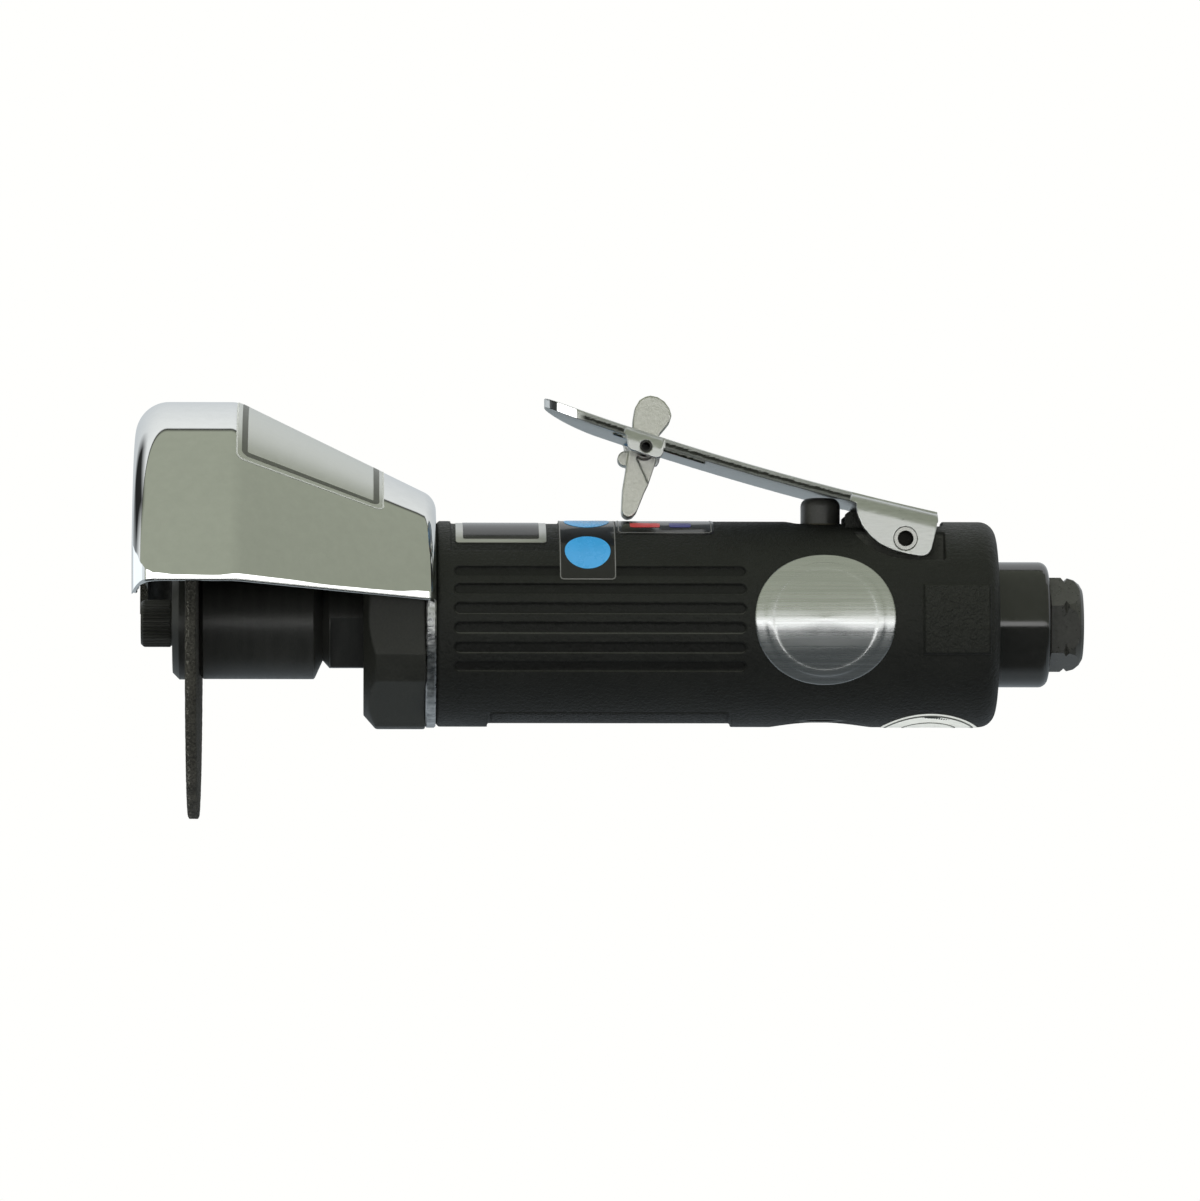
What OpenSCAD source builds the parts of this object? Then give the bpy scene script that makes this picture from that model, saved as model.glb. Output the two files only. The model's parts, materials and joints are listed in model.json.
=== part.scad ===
// Pneumatic cut-off tool: origin at the air inlet's mouth, +X out of the inlet, +Z towards the lever.

/* [Handle] */
// Radius of the cast housing
housing_r = 20; // [19:0.1:21]
// Front end of the housing
housing_front = -125.8; // [-127:0.1:-124]
// Rear end of the housing
housing_rear = -17; // [-18:0.1:-16]
// Rounding of the rear edge
housing_round = 3.2; // [1:0.1:4]
// Wall between the motor bore and the outside
housing_wall = 3.5; // [3:0.1:4]
// Depth of the grip grooves
groove_depth = 0.55; // [0.2:0.05:0.8]
// Width of the grip grooves
groove_w = 2.1; // [1.5:0.1:2.6]
// Angle between the grip grooves
groove_pitch = 11; // [9:0.1:13]

/* [Wheel and hub] */
// Radius of the cutting wheel
wheel_r = 38; // [37:0.1:38.5]
// Thickness of the cutting wheel
wheel_t = 2.2; // [1.5:0.1:3]
// Rear face of the wheel
wheel_rear = -171.6; // [-173:0.1:-170]
// Radius of the hub
hub_r = 10.8; // [10:0.1:11.5]
// Rear end of the hub's thick part
hub_rear = -149.2; // [-151:0.1:-148]
// Radius of the spindle neck
neck_r = 8.65; // [8:0.05:9]
// Half the width over the neck's flats
neck_flat = 6.4; // [6:0.1:8]

/* [Guard] */
// Distance from the wheel's edge to the outside of the guard
guard_reach = 5; // [4:0.1:6]
// Front of the guard
guard_front = -184; // [-186:0.1:-183]
// Rounding of the front edge
guard_nose_r = 6.5; // [5:0.1:8]
// Sheet thickness
guard_t = 1.5; // [1:0.1:2]
// Angle that the guard covers
guard_span = 162; // [150:1:180]

/* [Lever] */
// Sheet thickness of the lever
lever_t = 1.8; // [1.5:0.1:2.2]
// Width of the lever
lever_w = 24; // [20:0.5:26]
// Hinge axis along X
hinge_x = -35; // [-37:0.1:-33]
// Depth of the hinge axis below the top of the handle
hinge_drop = 4; // [3:0.1:5]
// Hinge pin radius
hinge_pin_r = 2.2; // [1.5:0.05:2.5]
// Lock-off pivot along X
pivot_x = -85.2; // [-86:0.1:-84]
// Height of the lock-off pivot above the top of the handle
pivot_rise = 13.8; // [13:0.1:15]
// Thickness of the lock-off lever
tab_t = 7; // [5:0.5:9]

/* [Valve and inlet] */
// Valve axis along X
valve_x = -50.9; // [-52:0.1:-50]
// Plunger radius
plunger_r = 3.85; // [3.5:0.05:4]
// Height of the plunger above the top of the handle
plunger_rise = 4.7; // [4:0.1:5]
// Width over the inlet's flats
inlet_af = 16; // [15:0.5:17]
// Thread radius of the air inlet
inlet_thread_r = 5.72; // [5.5:0.02:6]
// Depth of the inlet thread
inlet_thread_l = 12; // [10:0.5:13]
// Outer radius of the exhaust deflector
deflector_r = 12.2; // [11.5:0.1:12.5]

/* [Show] */
// Which node to make

/* [Hidden] */
$fn = 96;
sheet_fn = 8;
motor_r = housing_r - housing_wall;
stack_r = motor_r - 0.1;
liner_r = motor_r - 2.5;
rotor_r = motor_r - 4;
dowel_r = motor_r - 1.9;
spigot_r = motor_r + 1;
seal_r = spigot_r - 4.8;
neck_hole = neck_r + 0.45;
chamber_r = motor_r - 3.5;
port_r = liner_r - 2.1;
feed_z = 9;
guard_r = wheel_r + guard_reach;
shoulder_x = wheel_rear + 6.2;
shoulder_r = 6;
tail_r = 4;
tail_rise = 1.95;
cone_run = housing_front - tail_r - shoulder_x;
cone_fall = guard_r - shoulder_r - housing_r - tail_rise;
cone_normal = acos((shoulder_r - tail_r) / norm([cone_run, cone_fall])) - atan2(cone_fall, cone_run);
hinge_z = housing_r - hinge_drop;
pivot_z = housing_r + pivot_rise;
plunger_top = housing_r + plunger_rise;
foot_gap = 0.5;
plug_h = 5.7;
plug_z = housing_r - 1.3;
seat_top = housing_r - 0.7;
nut_rear = housing_front - 2;
nut_front = nut_rear - 12;
spigot_end = -118;
plate_front = spigot_end;
liner_front = -109;
liner_rear = -75;
motor_end = -66;
exhaust_l = housing_rear - motor_end + 2;
exhaust_r = 10.18;
exhaust_tilt = asin((motor_r - 0.9 - exhaust_r) / exhaust_l);
wheel_front = wheel_rear - wheel_t;
flange_front = wheel_front - 3;
screw_front = flange_front - 6.2;
neck_front = hub_rear + 2.8;
shaft_end = hub_rear - 9.3;
lever_cx = 102.36;
lever_cz = housing_r + 592.43;
lever_R = 605;
crown_R = 90;
run = 0.05;
liner_off = 1.2;
pad_front = housing_rear - 14.9;
pad_rear = housing_rear - 2;
pad_half = 6.8;
pin_bore_l = 5;
hub_chamfer = 0.3;
rear_x = -28.6;
tip_x = -104.7;
hinge_bend_r = 3;
lock_bend_r = 2.3;
lock_pin_r = 1.2;
lug_set = 2.2;
ear_out = lever_w / 2;
ear_in = ear_out - lever_t;
pocket_y = ear_in - 0.4;
saddle_y = pocket_y - 1.8;
spring_y0 = tab_t / 2 + 1.1;
spring_y1 = ear_in - 1;

// Helpers
function swapped(p) = [for (q = p) [q[1], q[0]]];
// Points whose heights are given from the top of the handle
function on_top(p) = [for (q = p) [q[0], housing_r + q[1]]];
function arc(cx, cr, r, a0, a1, n) =
  [for (i = [0:n]) [cx + r * cos(a0 + (a1 - a0) * i / n), cr + r * sin(a0 + (a1 - a0) * i / n)]];

// A turned piece from points given as position along X and radius
module turned(p) {
  rotate([0, 90, 0]) rotate_extrude() polygon(swapped(p));
}

// A round bar along X
module bar(x0, x1, r) {
  translate([x0, 0, 0]) rotate([0, 90, 0]) cylinder(h = x1 - x0, r = r);
}

// A tube along X
module tube(x0, x1, r_out, r_in) {
  turned([[x0, r_in], [x1, r_in], [x1, r_out], [x0, r_out]]);
}

// A plate in the XZ plane between two Y values
module side_plate(p, y0, y1) {
  translate([0, y1, 0]) rotate([90, 0, 0]) linear_extrude(height = y1 - y0) polygon(p);
}

// A box between two corners
module block(a, b) {
  translate(a) cube(b - a);
}

// A wedge of the cylinder around X between two angles from the near side upwards
module sector(x0, x1, r_in, r_out, a0, a1) {
  rotate([0, 90, 0]) rotate([0, 0, 270 - a1]) translate([0, 0, x0]) rotate_extrude(angle = a1 - a0)
    polygon([[r_in, 0], [r_out, 0], [r_out, x1 - x0], [r_in, x1 - x0]]);
}

// A wire whose centre line follows points
module wire(path, r, sides) {
  n = len(path);
  function unit(v) = v / norm(v);
  function tangent(i) = unit(path[min(i + 1, n - 1)] - path[max(i - 1, 0)]);
  function side(i) = unit(cross(tangent(i), abs(tangent(i)[2]) > 0.9 ? [1, 0, 0] : [0, 0, 1]));
  pts = [for (i = [0:n - 1]) let (t = tangent(i), s = side(i), u = cross(t, s))
    for (k = [0:sides - 1]) path[i] + r * (cos(360 * k / sides) * s + sin(360 * k / sides) * u)];
  rings = [for (i = [0:n - 2]) for (k = [0:sides - 1])
    [i * sides + k, i * sides + (k + 1) % sides, (i + 1) * sides + (k + 1) % sides, (i + 1) * sides + k]];
  start = [[for (k = [0:sides - 1]) sides - 1 - k]];
  end = [[for (k = [0:sides - 1]) (n - 1) * sides + k]];
  polyhedron(points = pts, faces = concat(rings, start, end), convexity = 6);
}

// Handle
module groove(a, x0, x1) {
  end_r = groove_w / 2;
  rotate([a, 0, 0]) translate([0, -housing_r - 1, 0]) {
    block([x0, 0, -end_r], [x1, groove_depth + 1, end_r]);
    for (x = [x0, x1])
      translate([x, 0, 0]) rotate([-90, 0, 0]) cylinder(h = groove_depth + 1, r = end_r);
  }
}

module grip() {
  for (i = [0:5]) {
    a = (i - 2.5) * groove_pitch;
    groove(-a, housing_front + 4.5, motor_end - 1.2);
    groove(180 + a, housing_front + 4.5, motor_end - 1.2);
  }
}

// Pocket for one hinge ear of the lever
pocket = on_top([[-46.6, 6], [-46.2, 0], [-45, -2.8], [-43.2, -4.9], [-41, -6.6], [-38, -7.8],
  [-34.6, -8.4], [-27.4, -8.4], [-27.4, 6]]);

// Saddle on top of the handle between the ears
saddle = on_top([[-46.4, -3], [-46.4, 1], [-45.8, 1.5], [-41.6, 1.2], [-39.8, 0], [-39.2, -3]]);

module housing() {
  color([0.12, 0.12, 0.11])
  difference() {
    union() {
      turned(concat([[housing_front, 0], [housing_front, housing_r - 0.6], [housing_front + 0.6, housing_r]],
        arc(housing_rear - housing_round, housing_r - housing_round, housing_round, 90, 0, sheet_fn),
        [[housing_rear, 0]]));
      intersection() {
        bar(pad_front, pad_rear, housing_r + 0.4);
        block([pad_front, -30, -pad_half], [pad_rear, 30, pad_half]);
      }
      side_plate(saddle, -saddle_y, saddle_y);
    }
    bar(housing_front - 1, spigot_end, spigot_r + run);
    bar(housing_front - 1, motor_end, motor_r);
    bar(motor_end - 1, motor_end + 4, chamber_r);
    for (s = [-1, 1]) {
      rotate([-40 * s, 0, 0])
        block([liner_front + 4, s > 0 ? motor_r - 1.5 : -motor_r - 1.3, -2.4],
          [motor_end + 1.5, s > 0 ? motor_r + 1.3 : 1.5 - motor_r, 2.4]);
      rotate([-40 * s, 0, 0]) translate([motor_end - 1, s * (motor_r - 0.9), 0])
        rotate([0, 90, -exhaust_tilt * s]) cylinder(h = exhaust_l, r = 1.7);
      side_plate(pocket, s > 0 ? pocket_y : -30, s > 0 ? 30 : -pocket_y);
    }
    block([-39.2, -10, housing_r - 1.3], [-27.4, 10, housing_r + 6]);
    translate([hinge_x, -15, hinge_z]) rotate([-90, 0, 0]) cylinder(h = 30, r = hinge_pin_r);
    bar(-31, housing_rear + 1, 7.5);
    bar(valve_x, -30, 4);
    translate([valve_x, 0, -housing_r]) cylinder(h = housing_r + 7, r = 5.5);
    translate([valve_x, 0, -plug_z]) cylinder(h = plug_h, r = 6.5);
    translate([valve_x, 0, -housing_r - 2.7]) cylinder(h = 4, r1 = 17.3, r2 = 6.5);
    translate([valve_x, 0, 6]) cylinder(h = 6, r = 4.5);
    translate([valve_x, 0, 11]) cylinder(h = housing_r - 8, r = 6);
    translate([valve_x, 0, seat_top]) cylinder(h = 3, r = 7);
    translate([motor_end, 0, feed_z]) rotate([0, 90, 0]) cylinder(h = valve_x - motor_end, r = 1.9);
    sector(-123, -102, housing_r - 0.5, housing_r + 2, 42, 138);
    sector(-115.8, -68.5, housing_r - 0.7, housing_r + 2, -116, -64);
    grip();
  }
}

module clamp_nut() {
  color([0.17, 0.17, 0.16])
  intersection() {
    turned([[nut_front, neck_hole], [nut_front, housing_r - 2.2], [nut_front + 2.4, housing_r + 0.5],
      [nut_rear, housing_r + 0.5],
      [nut_rear, spigot_r], [spigot_end, spigot_r], [spigot_end, seal_r], [nut_front + 2.6, seal_r],
      [nut_front + 2.6, neck_hole]]);
    union() {
      translate([nut_front, 0, 0]) rotate([0, 90, 0]) rotate([0, 0, -2])
        cylinder(h = nut_rear - nut_front, r = (housing_r - 1) / cos(30), $fn = 6);
      bar(nut_rear - 0.1, spigot_end, spigot_r + 0.1);
    }
  }
}

module front_seal() {
  color([0.08, 0.08, 0.08])
  tube(nut_front + 2.6, nut_front + 5.6, seal_r, 6.3);
}

module badge() {
  color([0.75, 0.76, 0.76])
  intersection() {
    tube(valve_x - 16, valve_x + 16, housing_r + 0.3, housing_r);
    translate([valve_x, 0, 0]) rotate([90, 0, 0]) cylinder(h = 30, r = 13.6);
  }
}

// Motor
module front_end_plate() {
  color([0.45, 0.45, 0.45])
  difference() {
    bar(plate_front, liner_front, stack_r);
    bar(plate_front - 1, plate_front + 7, 11);
    bar(plate_front, liner_front + 1, 4.5);
  }
}

module cylinder_liner() {
  color([0.55, 0.55, 0.55])
  difference() {
    bar(liner_front, liner_rear, stack_r);
    translate([0, 0, liner_off]) bar(liner_front - 1, liner_rear + 1, liner_r);
    for (s = [-1, 1])
      for (x = [liner_front + 7:7:liner_front + 21])
        rotate([-40 * s, 0, 0])
          block([x, s > 0 ? liner_r - 6 : -housing_r, -1.5], [x + 3.5, s > 0 ? housing_r : 6 - liner_r, 1.5]);
    translate([liner_rear - 3.5, 0, -dowel_r]) rotate([0, 90, 0]) cylinder(h = 5, r = 1);
  }
}

module rear_end_plate() {
  color([0.45, 0.45, 0.45])
  difference() {
    bar(liner_rear, motor_end, stack_r);
    bar(liner_rear + 3, motor_end + 1, 9.5);
    bar(liner_rear - 1, motor_end, 4.8);
    for (a = [-60, 60])
      rotate([a, 0, 0]) translate([liner_rear - 1, 0, port_r]) rotate([0, 90, 0]) cylinder(h = 11, r = 1.5);
    for (s = [-1, 1])
      rotate([-40 * s, 0, 0]) translate([liner_rear - 1, s * stack_r, 0]) rotate([0, 90, 0])
        cylinder(h = 11, r = 2.2);
    translate([liner_rear - 1, 0, -dowel_r]) rotate([0, 90, 0]) cylinder(h = 6, r = 1);
  }
}

module locating_dowel() {
  color([0.6, 0.6, 0.6])
  translate([liner_rear - 3, 0, -dowel_r]) rotate([0, 90, 0]) cylinder(h = 7.5, r = 0.95);
}

module bearing_balls(x, pitch, r, n, w) {
  union() {
    tube(x - w / 2, x + w / 2, pitch + 0.4, pitch - 0.4);
    for (i = [0:n - 1])
      rotate([360 * i / n, 0, 0]) translate([x, 0, pitch]) sphere(r);
  }
}

module front_bearing_outer() {
  color([0.7, 0.7, 0.72])
  tube(plate_front, plate_front + 7, 11, 9.6);
}

module front_bearing_balls() {
  color([0.8, 0.8, 0.82])
  bearing_balls(plate_front + 3.5, 7.5, 1.98, 7, 1.2);
}

module front_bearing_inner() {
  color([0.7, 0.7, 0.72])
  tube(plate_front, plate_front + 7, 5.4, 4);
}

module rear_bearing_outer() {
  color([0.7, 0.7, 0.72])
  tube(motor_end - 6, motor_end, 9.5, 8.02);
}

module rear_bearing_balls() {
  color([0.8, 0.8, 0.82])
  bearing_balls(motor_end - 3, 6.25, 1.65, 7, 1);
}

module rear_bearing_inner() {
  color([0.7, 0.7, 0.72])
  tube(motor_end - 6, motor_end, 4.48, 3);
}

module vane_space(i, t, deep, top, x0, x1) {
  rotate([90 * i + 45, 0, 0]) block([x0, -t / 2, top - deep], [x1, t / 2, top]);
}

module rotor() {
  color([0.5, 0.5, 0.5])
  difference() {
    turned([[shaft_end + 0.2, 0], [shaft_end + 0.2, 4], [liner_front + 0.3, 4], [liner_front + 0.3, rotor_r],
      [liner_rear - 0.3, rotor_r], [liner_rear - 0.3, 4.4], [liner_rear + 2.7, 4.4], [liner_rear + 2.7, 3],
      [motor_end, 3], [motor_end, 0]]);
    for (i = [0:3])
      vane_space(i, 1.9, 7, rotor_r + 1, liner_front - 1, liner_rear + 0.2);
  }
}

module rotor_vane(i) {
  color([0.42, 0.25, 0.12])
  vane_space(i, 1.8, 5.9, rotor_r - 0.05, liner_front + 0.35, liner_rear - 0.35);
}

module rotor_vane_1() {
  rotor_vane(0);
}

module rotor_vane_2() {
  rotor_vane(1);
}

module rotor_vane_3() {
  rotor_vane(2);
}

module rotor_vane_4() {
  rotor_vane(3);
}

// Wheel end
module spindle_hub() {
  color([0.3, 0.3, 0.3])
  difference() {
    turned([[wheel_rear, 3], [wheel_rear, hub_r - 0.8], [wheel_rear + 0.8, hub_r],
      [hub_rear - hub_chamfer, hub_r], [hub_rear, hub_r - hub_chamfer], [hub_rear + 1.5, neck_r - 1.45],
      [neck_front, neck_r], [nut_front + 0.8, neck_r], [nut_front + 0.8, 6], [plate_front, 6],
      [plate_front, 4], [shaft_end, 4], [shaft_end, 3]]);
    for (s = [0, 180])
      rotate([38 + s, 0, 0]) block([neck_front + 0.2, -20, -20], [nut_front + 0.2, -neck_flat, 20]);
  }
}

module cutting_wheel() {
  color([0.25, 0.24, 0.22])
  tube(wheel_front, wheel_rear, wheel_r, 4.75);
}

module outer_flange() {
  color([0.33, 0.33, 0.33])
  turned([[flange_front, 3.1], [flange_front, 9.6], [flange_front + 1.3, 10.9], [wheel_front, 10.9],
    [wheel_front, 4.7], [wheel_rear - 0.2, 4.7], [wheel_rear - 0.2, 3.1]]);
}

module wheel_screw() {
  color([0.28, 0.28, 0.28])
  difference() {
    turned([[screw_front, 0], [screw_front, 4.1], [screw_front + 0.5, 4.6], [flange_front, 4.6],
      [flange_front, 3], [shaft_end - 1, 3], [shaft_end - 1, 0]]);
    translate([screw_front - 1, 0, 0]) rotate([0, 90, 0]) cylinder(h = 4.5, r = 2.5 / cos(30), $fn = 6);
  }
}

// Guard sheet as a closed outline at a distance inside the outer skin
function guard_skin(d) = concat(
  [[guard_front + d, guard_r - guard_nose_r - 1.5]],
  arc(guard_front + guard_nose_r, guard_r - guard_nose_r, guard_nose_r - d, 180, 90, sheet_fn),
  arc(shoulder_x, guard_r - shoulder_r, shoulder_r - d, 90, cone_normal, 4),
  arc(housing_front - tail_r, housing_r + tail_rise, tail_r - d, cone_normal, 0, 6),
  [[housing_front - d, housing_r - 1]]);

module guard_piece(profile, a0, a1) {
  rotate([0, 90, 0]) rotate([0, 0, 270 - a1]) rotate_extrude(angle = a1 - a0) polygon(swapped(profile));
}

module wheel_guard() {
  color([0.78, 0.79, 0.78])
  union() {
    skin = guard_skin(0);
    inner = guard_skin(guard_t);
    edge = (180 - guard_span) / 2;
    sheet = concat(skin, [for (i = [len(inner) - 1:-1:0]) inner[i]]);
    guard_piece(sheet, edge, 180 - edge);
    tube(nut_rear, housing_front, housing_r + 0.2, spigot_r + 0.2);
  }
}

// Lever
function crown(y) = y * y / (2 * crown_R);

module lever_band(a0, a1) {
  half = lever_w / 2;
  upper = [for (i = [0:12]) let (y = -half + lever_w * i / 12) [lever_R + crown(y), y]];
  lower = [for (i = [12:-1:0]) let (y = -half + lever_w * i / 12) [lever_R + crown(y) + lever_t, y]];
  translate([lever_cx, 0, lever_cz]) rotate([90, 0, 0]) rotate([0, 0, a0])
    rotate_extrude(angle = a1 - a0, $fn = 480) polygon(concat(upper, lower));
}

hinge_ear = on_top([[-44.6, 4.6], [-44.5, 2.8], [-44.3, 0.5], [-43.35, -1.7], [-41.8, -3.6], [-39.85, -5.2],
  [-37.3, -6.35], [-34.4, -7.1], [-32.4, -7.42], [-31.3, -7.4], [-30.5, -7], [-30, -6.2], [-29.7, -5.2],
  [-28.96, -2.1], [-28.7, 0.4]]);
lock_ear = on_top([[-89.1, 17], [-88.75, 14.2], [-88.65, 13.6], [-88.2, 13.1], [-83.3, 11.5], [-82.4, 11.6],
  [-81.9, 12.4], [-81.6, 14.6]]);

// Cutter that rounds the bend between the sheet and an ear
module bend_cut(s, x, z, slope, l, r) {
  inside = lever_w / 2 - r;
  outside = lever_w / 2 + 0.5;
  translate([x, 0, z]) rotate([0, slope, 0]) difference() {
    block([-l / 2, s > 0 ? inside : -outside, -r], [l / 2, s > 0 ? outside : -inside, 1.5]);
    translate([-l / 2 - 1, s * inside, -r]) rotate([0, 90, 0]) cylinder(h = l + 2, r = r);
  }
}

// Plan of the lever with a rounded nose
nose = concat([[rear_x, -20], [rear_x, 20], [tip_x + 11, 20]],
  [for (i = [0:24]) [tip_x + 11 + 11 * cos(90 + 7.5 * i), (ear_out + 0.02) * sin(90 + 7.5 * i)]],
  [[tip_x + 11, -20]]);

module throttle_lever() {
  color([0.62, 0.63, 0.62])
  difference() {
    union() {
      intersection() {
        lever_band(-110.4, -102.2);
        linear_extrude(height = housing_r + 50) difference() {
          polygon(nose);
          translate([pivot_x - 6, -tab_t / 2 - 0.5]) square([18, tab_t + 1]);
          translate([pivot_x - 2.2, 2]) square([5.6, ear_in - 2.3]);
        }
      }
      for (s = [-1, 1]) {
        side_plate(hinge_ear, s > 0 ? ear_in : -ear_out, s > 0 ? ear_out : -ear_in);
        side_plate(lock_ear, s > 0 ? ear_in : -ear_out, s > 0 ? ear_out : -ear_in);
      }
    }
    for (s = [-1, 1]) {
      bend_cut(s, -36.6, housing_r + 2.81, 13.3, 18, hinge_bend_r);
      bend_cut(s, -85.4, housing_r + 16.5, 18.1, 7.8, lock_bend_r);
    }
    translate([hinge_x, -20, hinge_z]) rotate([-90, 0, 0]) cylinder(h = 40, r = hinge_pin_r + run);
    translate([pivot_x, -20, pivot_z]) rotate([-90, 0, 0]) cylinder(h = 40, r = lock_pin_r);
  }
}

module lever_pin() {
  color([0.3, 0.3, 0.3])
  translate([hinge_x, -ear_out - 0.2, hinge_z]) rotate([-90, 0, 0]) difference() {
    cylinder(h = lever_w + 0.4, r = hinge_pin_r);
    for (z = [-1, lever_w + 0.4 - pin_bore_l])
      translate([0, 0, z]) cylinder(h = pin_bore_l + 1, r = hinge_pin_r - 0.7);
  }
}

paddle = on_top([[-82.88, 13], [-82.88, 14.82], [-82.3, 16.77], [-81.13, 18.13], [-80.35, 19.11],
  [-79.96, 20.47], [-80.35, 21.83], [-81.32, 23.19], [-82.68, 24.07], [-84.05, 24.36], [-85.02, 24.16],
  [-86.19, 23.48], [-87.06, 22.02], [-87.45, 19.69], [-87.55, 17.35], [-88.2, 13.5], [-88.33, 13]]);
foot = [[-84.44, 7.04], [-85.21, 5.49], [-86.77, foot_gap + 1.1], [-87.55, foot_gap + 0.25],
  [-88.3, foot_gap], [-88.9, foot_gap + 0.1], [-89.49, foot_gap + 0.6], [-89.69, foot_gap + 1.3],
  [-89.49, 6.07], [-88.33, 13.1]];
leg_far = on_top(concat([[-82.88, 13.1], [-82.88, 11.71]], foot));
leg_near = on_top(concat([[-86.8, 13.1], [-86.6, 11.9]], foot));

module lock_off_lever() {
  color([0.7, 0.7, 0.67])
  difference() {
    union() {
      side_plate(paddle, -tab_t / 2, tab_t / 2);
      side_plate(leg_far, -1, tab_t / 2);
      side_plate(leg_near, -tab_t / 2, 0);
      translate([pivot_x, tab_t / 2, pivot_z]) rotate([90, 0, 0]) cylinder(h = tab_t / 2, r = 2.6);
      translate([pivot_x, tab_t / 2, pivot_z]) rotate([90, 0, 0]) cylinder(h = tab_t, r = 1.8);
      translate([-88.9, tab_t / 2, housing_r + 12.2]) rotate([90, 0, 0])
        cylinder(h = tab_t - lug_set, r = 1.5);
    }
    translate([pivot_x, -20, pivot_z]) rotate([-90, 0, 0]) cylinder(h = 40, r = lock_pin_r + run);
  }
}

module lock_off_pin() {
  color([0.5, 0.5, 0.5])
  translate([pivot_x, -ear_out + 0.3, pivot_z]) rotate([-90, 0, 0]) difference() {
    cylinder(h = lever_w - 0.6, r = lock_pin_r);
    for (z = [-1, lever_w - 0.6 - pin_bore_l])
      translate([0, 0, z]) cylinder(h = pin_bore_l + 1, r = lock_pin_r - 0.4);
  }
}

// Torsion spring beside the lock-off lever
spring_turns = 4;
lock_spring_path = concat(
  [for (i = [0:spring_turns * 12]) let (a = 30 * i)
    [pivot_x + 1.75 * cos(a), spring_y0 + (spring_y1 - spring_y0) * i / (spring_turns * 12),
      pivot_z + 1.75 * sin(a)]],
  [[pivot_x + 1.75, spring_y1 + 0.2, pivot_z - 2.2]]);

module lock_off_spring() {
  color([0.55, 0.55, 0.55])
  wire(lock_spring_path, 0.32, 6);
}

// Valve
module valve_plunger() {
  color([0.1, 0.1, 0.1])
  translate([valve_x, 0, 0]) rotate_extrude() polygon(concat([[0, 6.6], [2, 6.6], [2, 11.6],
    [plunger_r, 11.6], [plunger_r, 14], [3.1, 14], [3.1, 15.4], [plunger_r, 15.4],
    [plunger_r, plunger_top - 1.75]],
    arc(plunger_r - 1.6, plunger_top - 1.75, 1.6, 0, 90, 6), [[0, plunger_top]]));
}

module plunger_o_ring() {
  color([0.05, 0.05, 0.05])
  translate([valve_x, 0, 14.7]) rotate_extrude() translate([3.45, 0]) circle(r = 0.35, $fn = 24);
}

module valve_disc() {
  color([0.75, 0.6, 0.3])
  translate([valve_x, 0, 0]) rotate_extrude()
    polygon([[0, 0.5], [1.8, 0.5], [1.8, 1.8], [4.2, 1.8], [4.2, 3.7], [2.4, 3.7], [2.4, 6.6], [0, 6.6]]);
}

module valve_bushing() {
  color([0.4, 0.4, 0.4])
  translate([valve_x, 0, 0]) rotate_extrude()
    polygon([[plunger_r + run, 11], [6, 11], [6, seat_top], [plunger_r + run, seat_top]]);
}

module valve_seat() {
  color([0.75, 0.6, 0.3])
  translate([valve_x, 0, 0]) rotate_extrude() polygon([[3, 4.2], [5.5, 4.2], [5.5, 6], [3, 6]]);
}

valve_spring_z0 = plug_h - plug_z + 0.55;
valve_spring_z1 = 1.2;
valve_spring_path = [for (i = [0:6 * 12]) let (a = 30 * i)
  [valve_x + 2.8 * cos(a), 2.8 * sin(a), valve_spring_z0 + (valve_spring_z1 - valve_spring_z0) * i / 72]];

module valve_spring() {
  color([0.6, 0.6, 0.6])
  wire(valve_spring_path, 0.45, 6);
}

module valve_plug() {
  color([0.2, 0.2, 0.2])
  difference() {
    translate([valve_x, 0, -plug_z]) cylinder(h = plug_h, r = 6.5);
    translate([valve_x, 0, -plug_z - 1]) cylinder(h = 3.5, r = 3 / cos(30), $fn = 6);
  }
}

// Inlet end
module inlet_bushing() {
  color([0.35, 0.35, 0.34])
  difference() {
    union() {
      bar(-31, -6.4, 7.5);
      intersection() {
        translate([-6.4, 0, 0]) rotate([0, 90, 0]) rotate([0, 0, 9.6])
          cylinder(h = 6.4, r = inlet_af / 2 / cos(30), $fn = 6);
        turned([[-6.4, 0], [-6.4, 9.3], [-4.2, 9.3], [-3.5, 8.5], [-2.9, 9.1], [-1.6, 8.7], [-0.6, 7.9],
          [0, 6.9], [0, 0]]);
      }
    }
    bar(-inlet_thread_l, 1, inlet_thread_r);
    bar(-32, -inlet_thread_l + 1, 4);
  }
}

module inlet_screen() {
  color([0.7, 0.65, 0.45])
  difference() {
    bar(-30, -29.2, 4);
    for (i = [0:5])
      rotate([60 * i, 0, 0]) translate([-31, 0, 2.3]) rotate([0, 90, 0]) cylinder(h = 3, r = 0.8);
    bar(-31, -28, 0.8);
  }
}

module exhaust_deflector() {
  color([0.1, 0.1, 0.1])
  difference() {
    turned(concat([[-16.7, 11.2], [-16.7, deflector_r]],
      arc(-8.5, deflector_r - 1.8, 1.8, 90, 0, 6),
      [[-6.7, 7.5 + run], [-9.2, 7.5 + run], [-9.2, 11.2]]));
    for (a = [120:30:240])
      rotate([a, 0, 0]) translate([-10, 0, 9.3]) rotate([0, 90, 0]) cylinder(h = 5, r = 1);
  }
}

module muffler_ring() {
  color([0.5, 0.5, 0.48])
  tube(-11.2, -9.2, 11.2, 7.9);
}

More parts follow.
